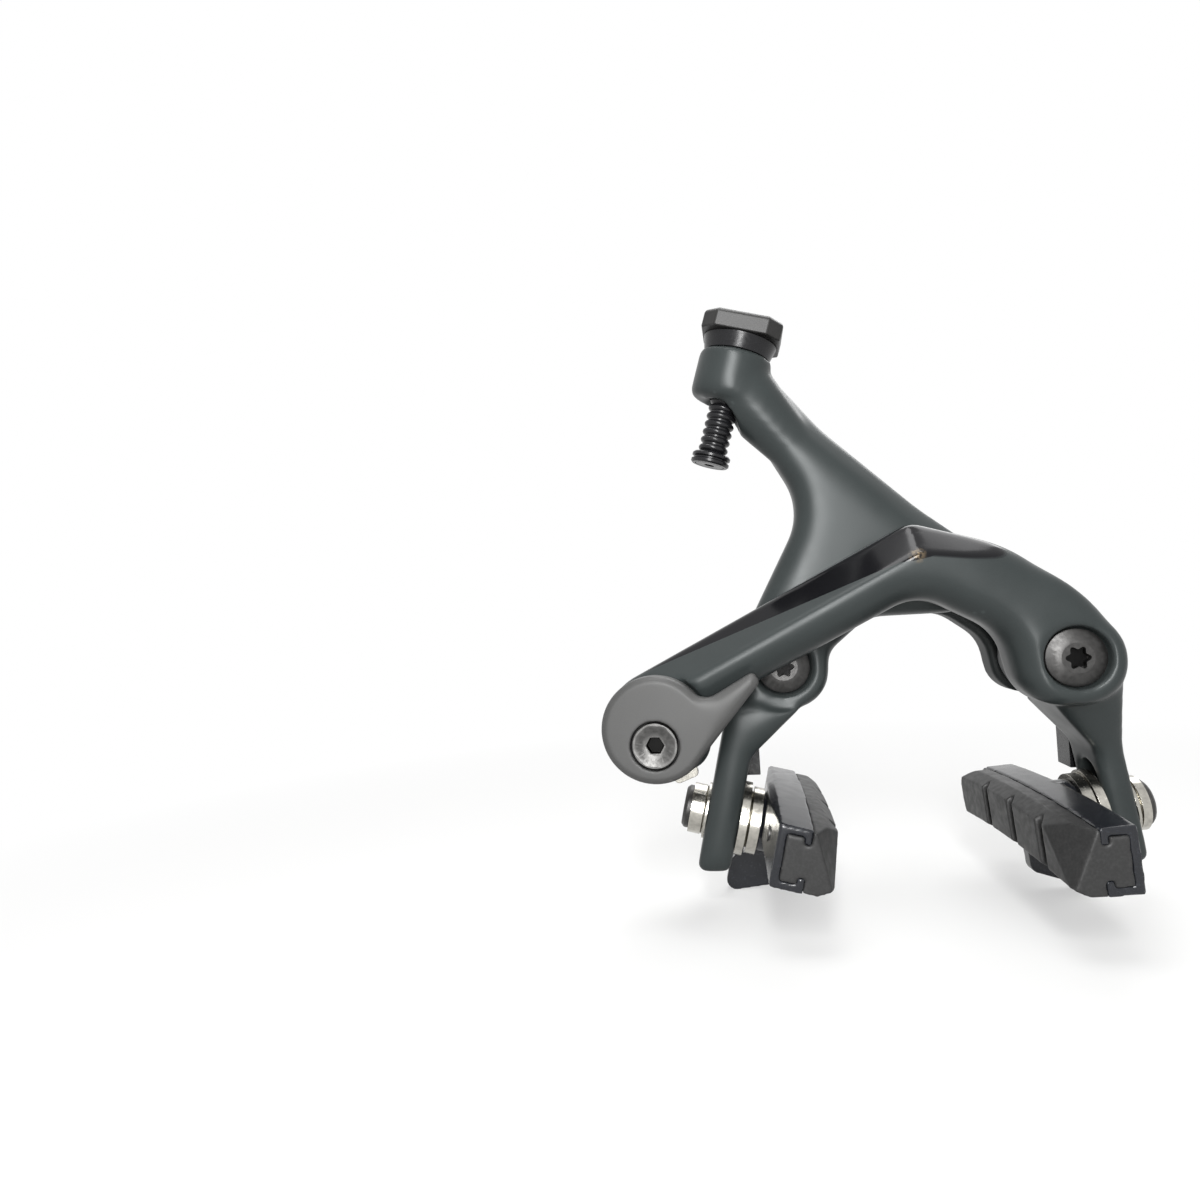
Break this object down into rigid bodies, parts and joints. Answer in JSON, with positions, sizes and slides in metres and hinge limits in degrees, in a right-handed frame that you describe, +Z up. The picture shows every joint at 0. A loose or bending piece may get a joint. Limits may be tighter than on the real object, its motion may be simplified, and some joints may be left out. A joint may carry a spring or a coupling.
{
  "type": "dual-pivot caliper brake",
  "caption": "Dual-pivot caliper rim brake with crossed arms on a bridge, cable quick-release lever, barrel adjuster and cartridge brake shoes on ball washers",
  "frame": {"origin": "on the centre bolt's axis, in the plane where the serrated washer meets the bicycle's frame", "axes": "+Y runs along the centre bolt into the frame, away from the viewer; +Z is up; +X is to the viewer's right, the side of the front arm's leg"},
  "size_m": [0.0976, 0.0594, 0.1166],
  "materials": {
    "arm_paint": "satin",
    "lever_paint": "satin",
    "bridge_paint": "satin",
    "dark_steel": "satin",
    "bright_steel": "polished",
    "bush_bronze": "satin",
    "holder_paint": "gloss",
    "pad_rubber": "matte",
    "black_plastic": "gloss",
    "ring_metal": "satin",
    "knob_plastic": "satin"
  },
  "bodies": {
    "bridge": {"bridge": "bridge_paint", "centre_bolt": "dark_steel", "serrated_washer": "bright_steel", "right_pivot_bolt": "dark_steel", "left_pivot_bolt": "dark_steel", "right_thrust_washer": "bright_steel", "left_thrust_washer": "bright_steel", "return_spring": "bright_steel"},
    "front_arm": {"front_arm": "arm_paint", "right_pivot_bush": "bush_bronze", "link_pin": "dark_steel", "right_spring_seat": "black_plastic", "right_inner_convex_washer": "bright_steel", "right_inner_concave_washer": "bright_steel", "right_outer_convex_washer": "bright_steel", "right_outer_concave_washer": "bright_steel", "right_shoe_holder": "holder_paint", "right_brake_pad": "pad_rubber", "right_shoe_bolt": "dark_steel", "right_pad_screw": "dark_steel"},
    "rear_arm": {"rear_arm": "arm_paint", "left_pivot_bush": "bush_bronze", "left_spring_seat": "black_plastic", "adjuster_collar": "black_plastic", "left_inner_convex_washer": "bright_steel", "left_inner_concave_washer": "bright_steel", "left_outer_convex_washer": "bright_steel", "left_outer_concave_washer": "bright_steel", "left_shoe_holder": "holder_paint", "left_brake_pad": "pad_rubber", "left_shoe_bolt": "dark_steel", "left_pad_screw": "dark_steel"},
    "quick_release": {"qr_lever": "lever_paint", "cable_clamp_plate": "bright_steel", "cable_clamp_bolt": "bright_steel"},
    "link_roller": {"link_roller": "dark_steel"},
    "centring_screw": {"centring_screw": "dark_steel"},
    "adjuster_barrel": {"adjuster_barrel": "black_plastic", "adjuster_end_ring": "ring_metal"},
    "adjuster_knob": {"adjuster_knob": "knob_plastic"}
  },
  "joints": [
    {"name": "front_arm_pivot", "type": "hinge", "parent": "bridge", "child": "front_arm", "pos_m": [0.024, -0.018, -0.0165], "axis": [0, 1, 0], "range_deg": [0, 14], "stiffness_Nm_per_rad": 1.5, "springref_deg": -34.38, "deforming": ["return_spring"]},
    {"name": "rear_arm_pivot", "type": "hinge", "parent": "bridge", "child": "rear_arm", "pos_m": [-0.024, -0.014, -0.0165], "axis": [0, 1, 0], "range_deg": [-14, 0], "deforming": ["return_spring"]},
    {"name": "quick_release_turn", "type": "hinge", "parent": "front_arm", "child": "quick_release", "pos_m": [-0.048, -0.028, -0.0259], "axis": [0, 1, 0], "range_deg": [0, 90]},
    {"name": "link_roller_spin", "type": "hinge", "parent": "front_arm", "child": "link_roller", "pos_m": [-0.004, -0.0145, 0.0004], "axis": [0, 1, 0], "continuous": true},
    {"name": "centring_screw_turn", "type": "hinge", "parent": "front_arm", "child": "centring_screw", "pos_m": [0.034, -0.0035, -0.033], "axis": [1, 0, 0], "continuous": true},
    {"name": "adjuster_knob_turn", "type": "hinge", "parent": "rear_arm", "child": "adjuster_knob", "pos_m": [-0.032, -0.0148, 0.036], "axis": [0.3007, 0, 0.9537], "range_deg": [0, 1810]},
    {"name": "adjuster_barrel_slide", "type": "slide", "parent": "rear_arm", "child": "adjuster_barrel", "axis": [0.3007, 0, 0.9537], "range_m": [0, 0.005]}
  ],
  "couplings": [
    {"joint": "rear_arm_pivot", "follows": "front_arm_pivot", "ratio": -1},
    {"joint": "adjuster_knob_turn", "follows": "adjuster_barrel_slide", "rad_per_m": 6283.2}
  ]
}
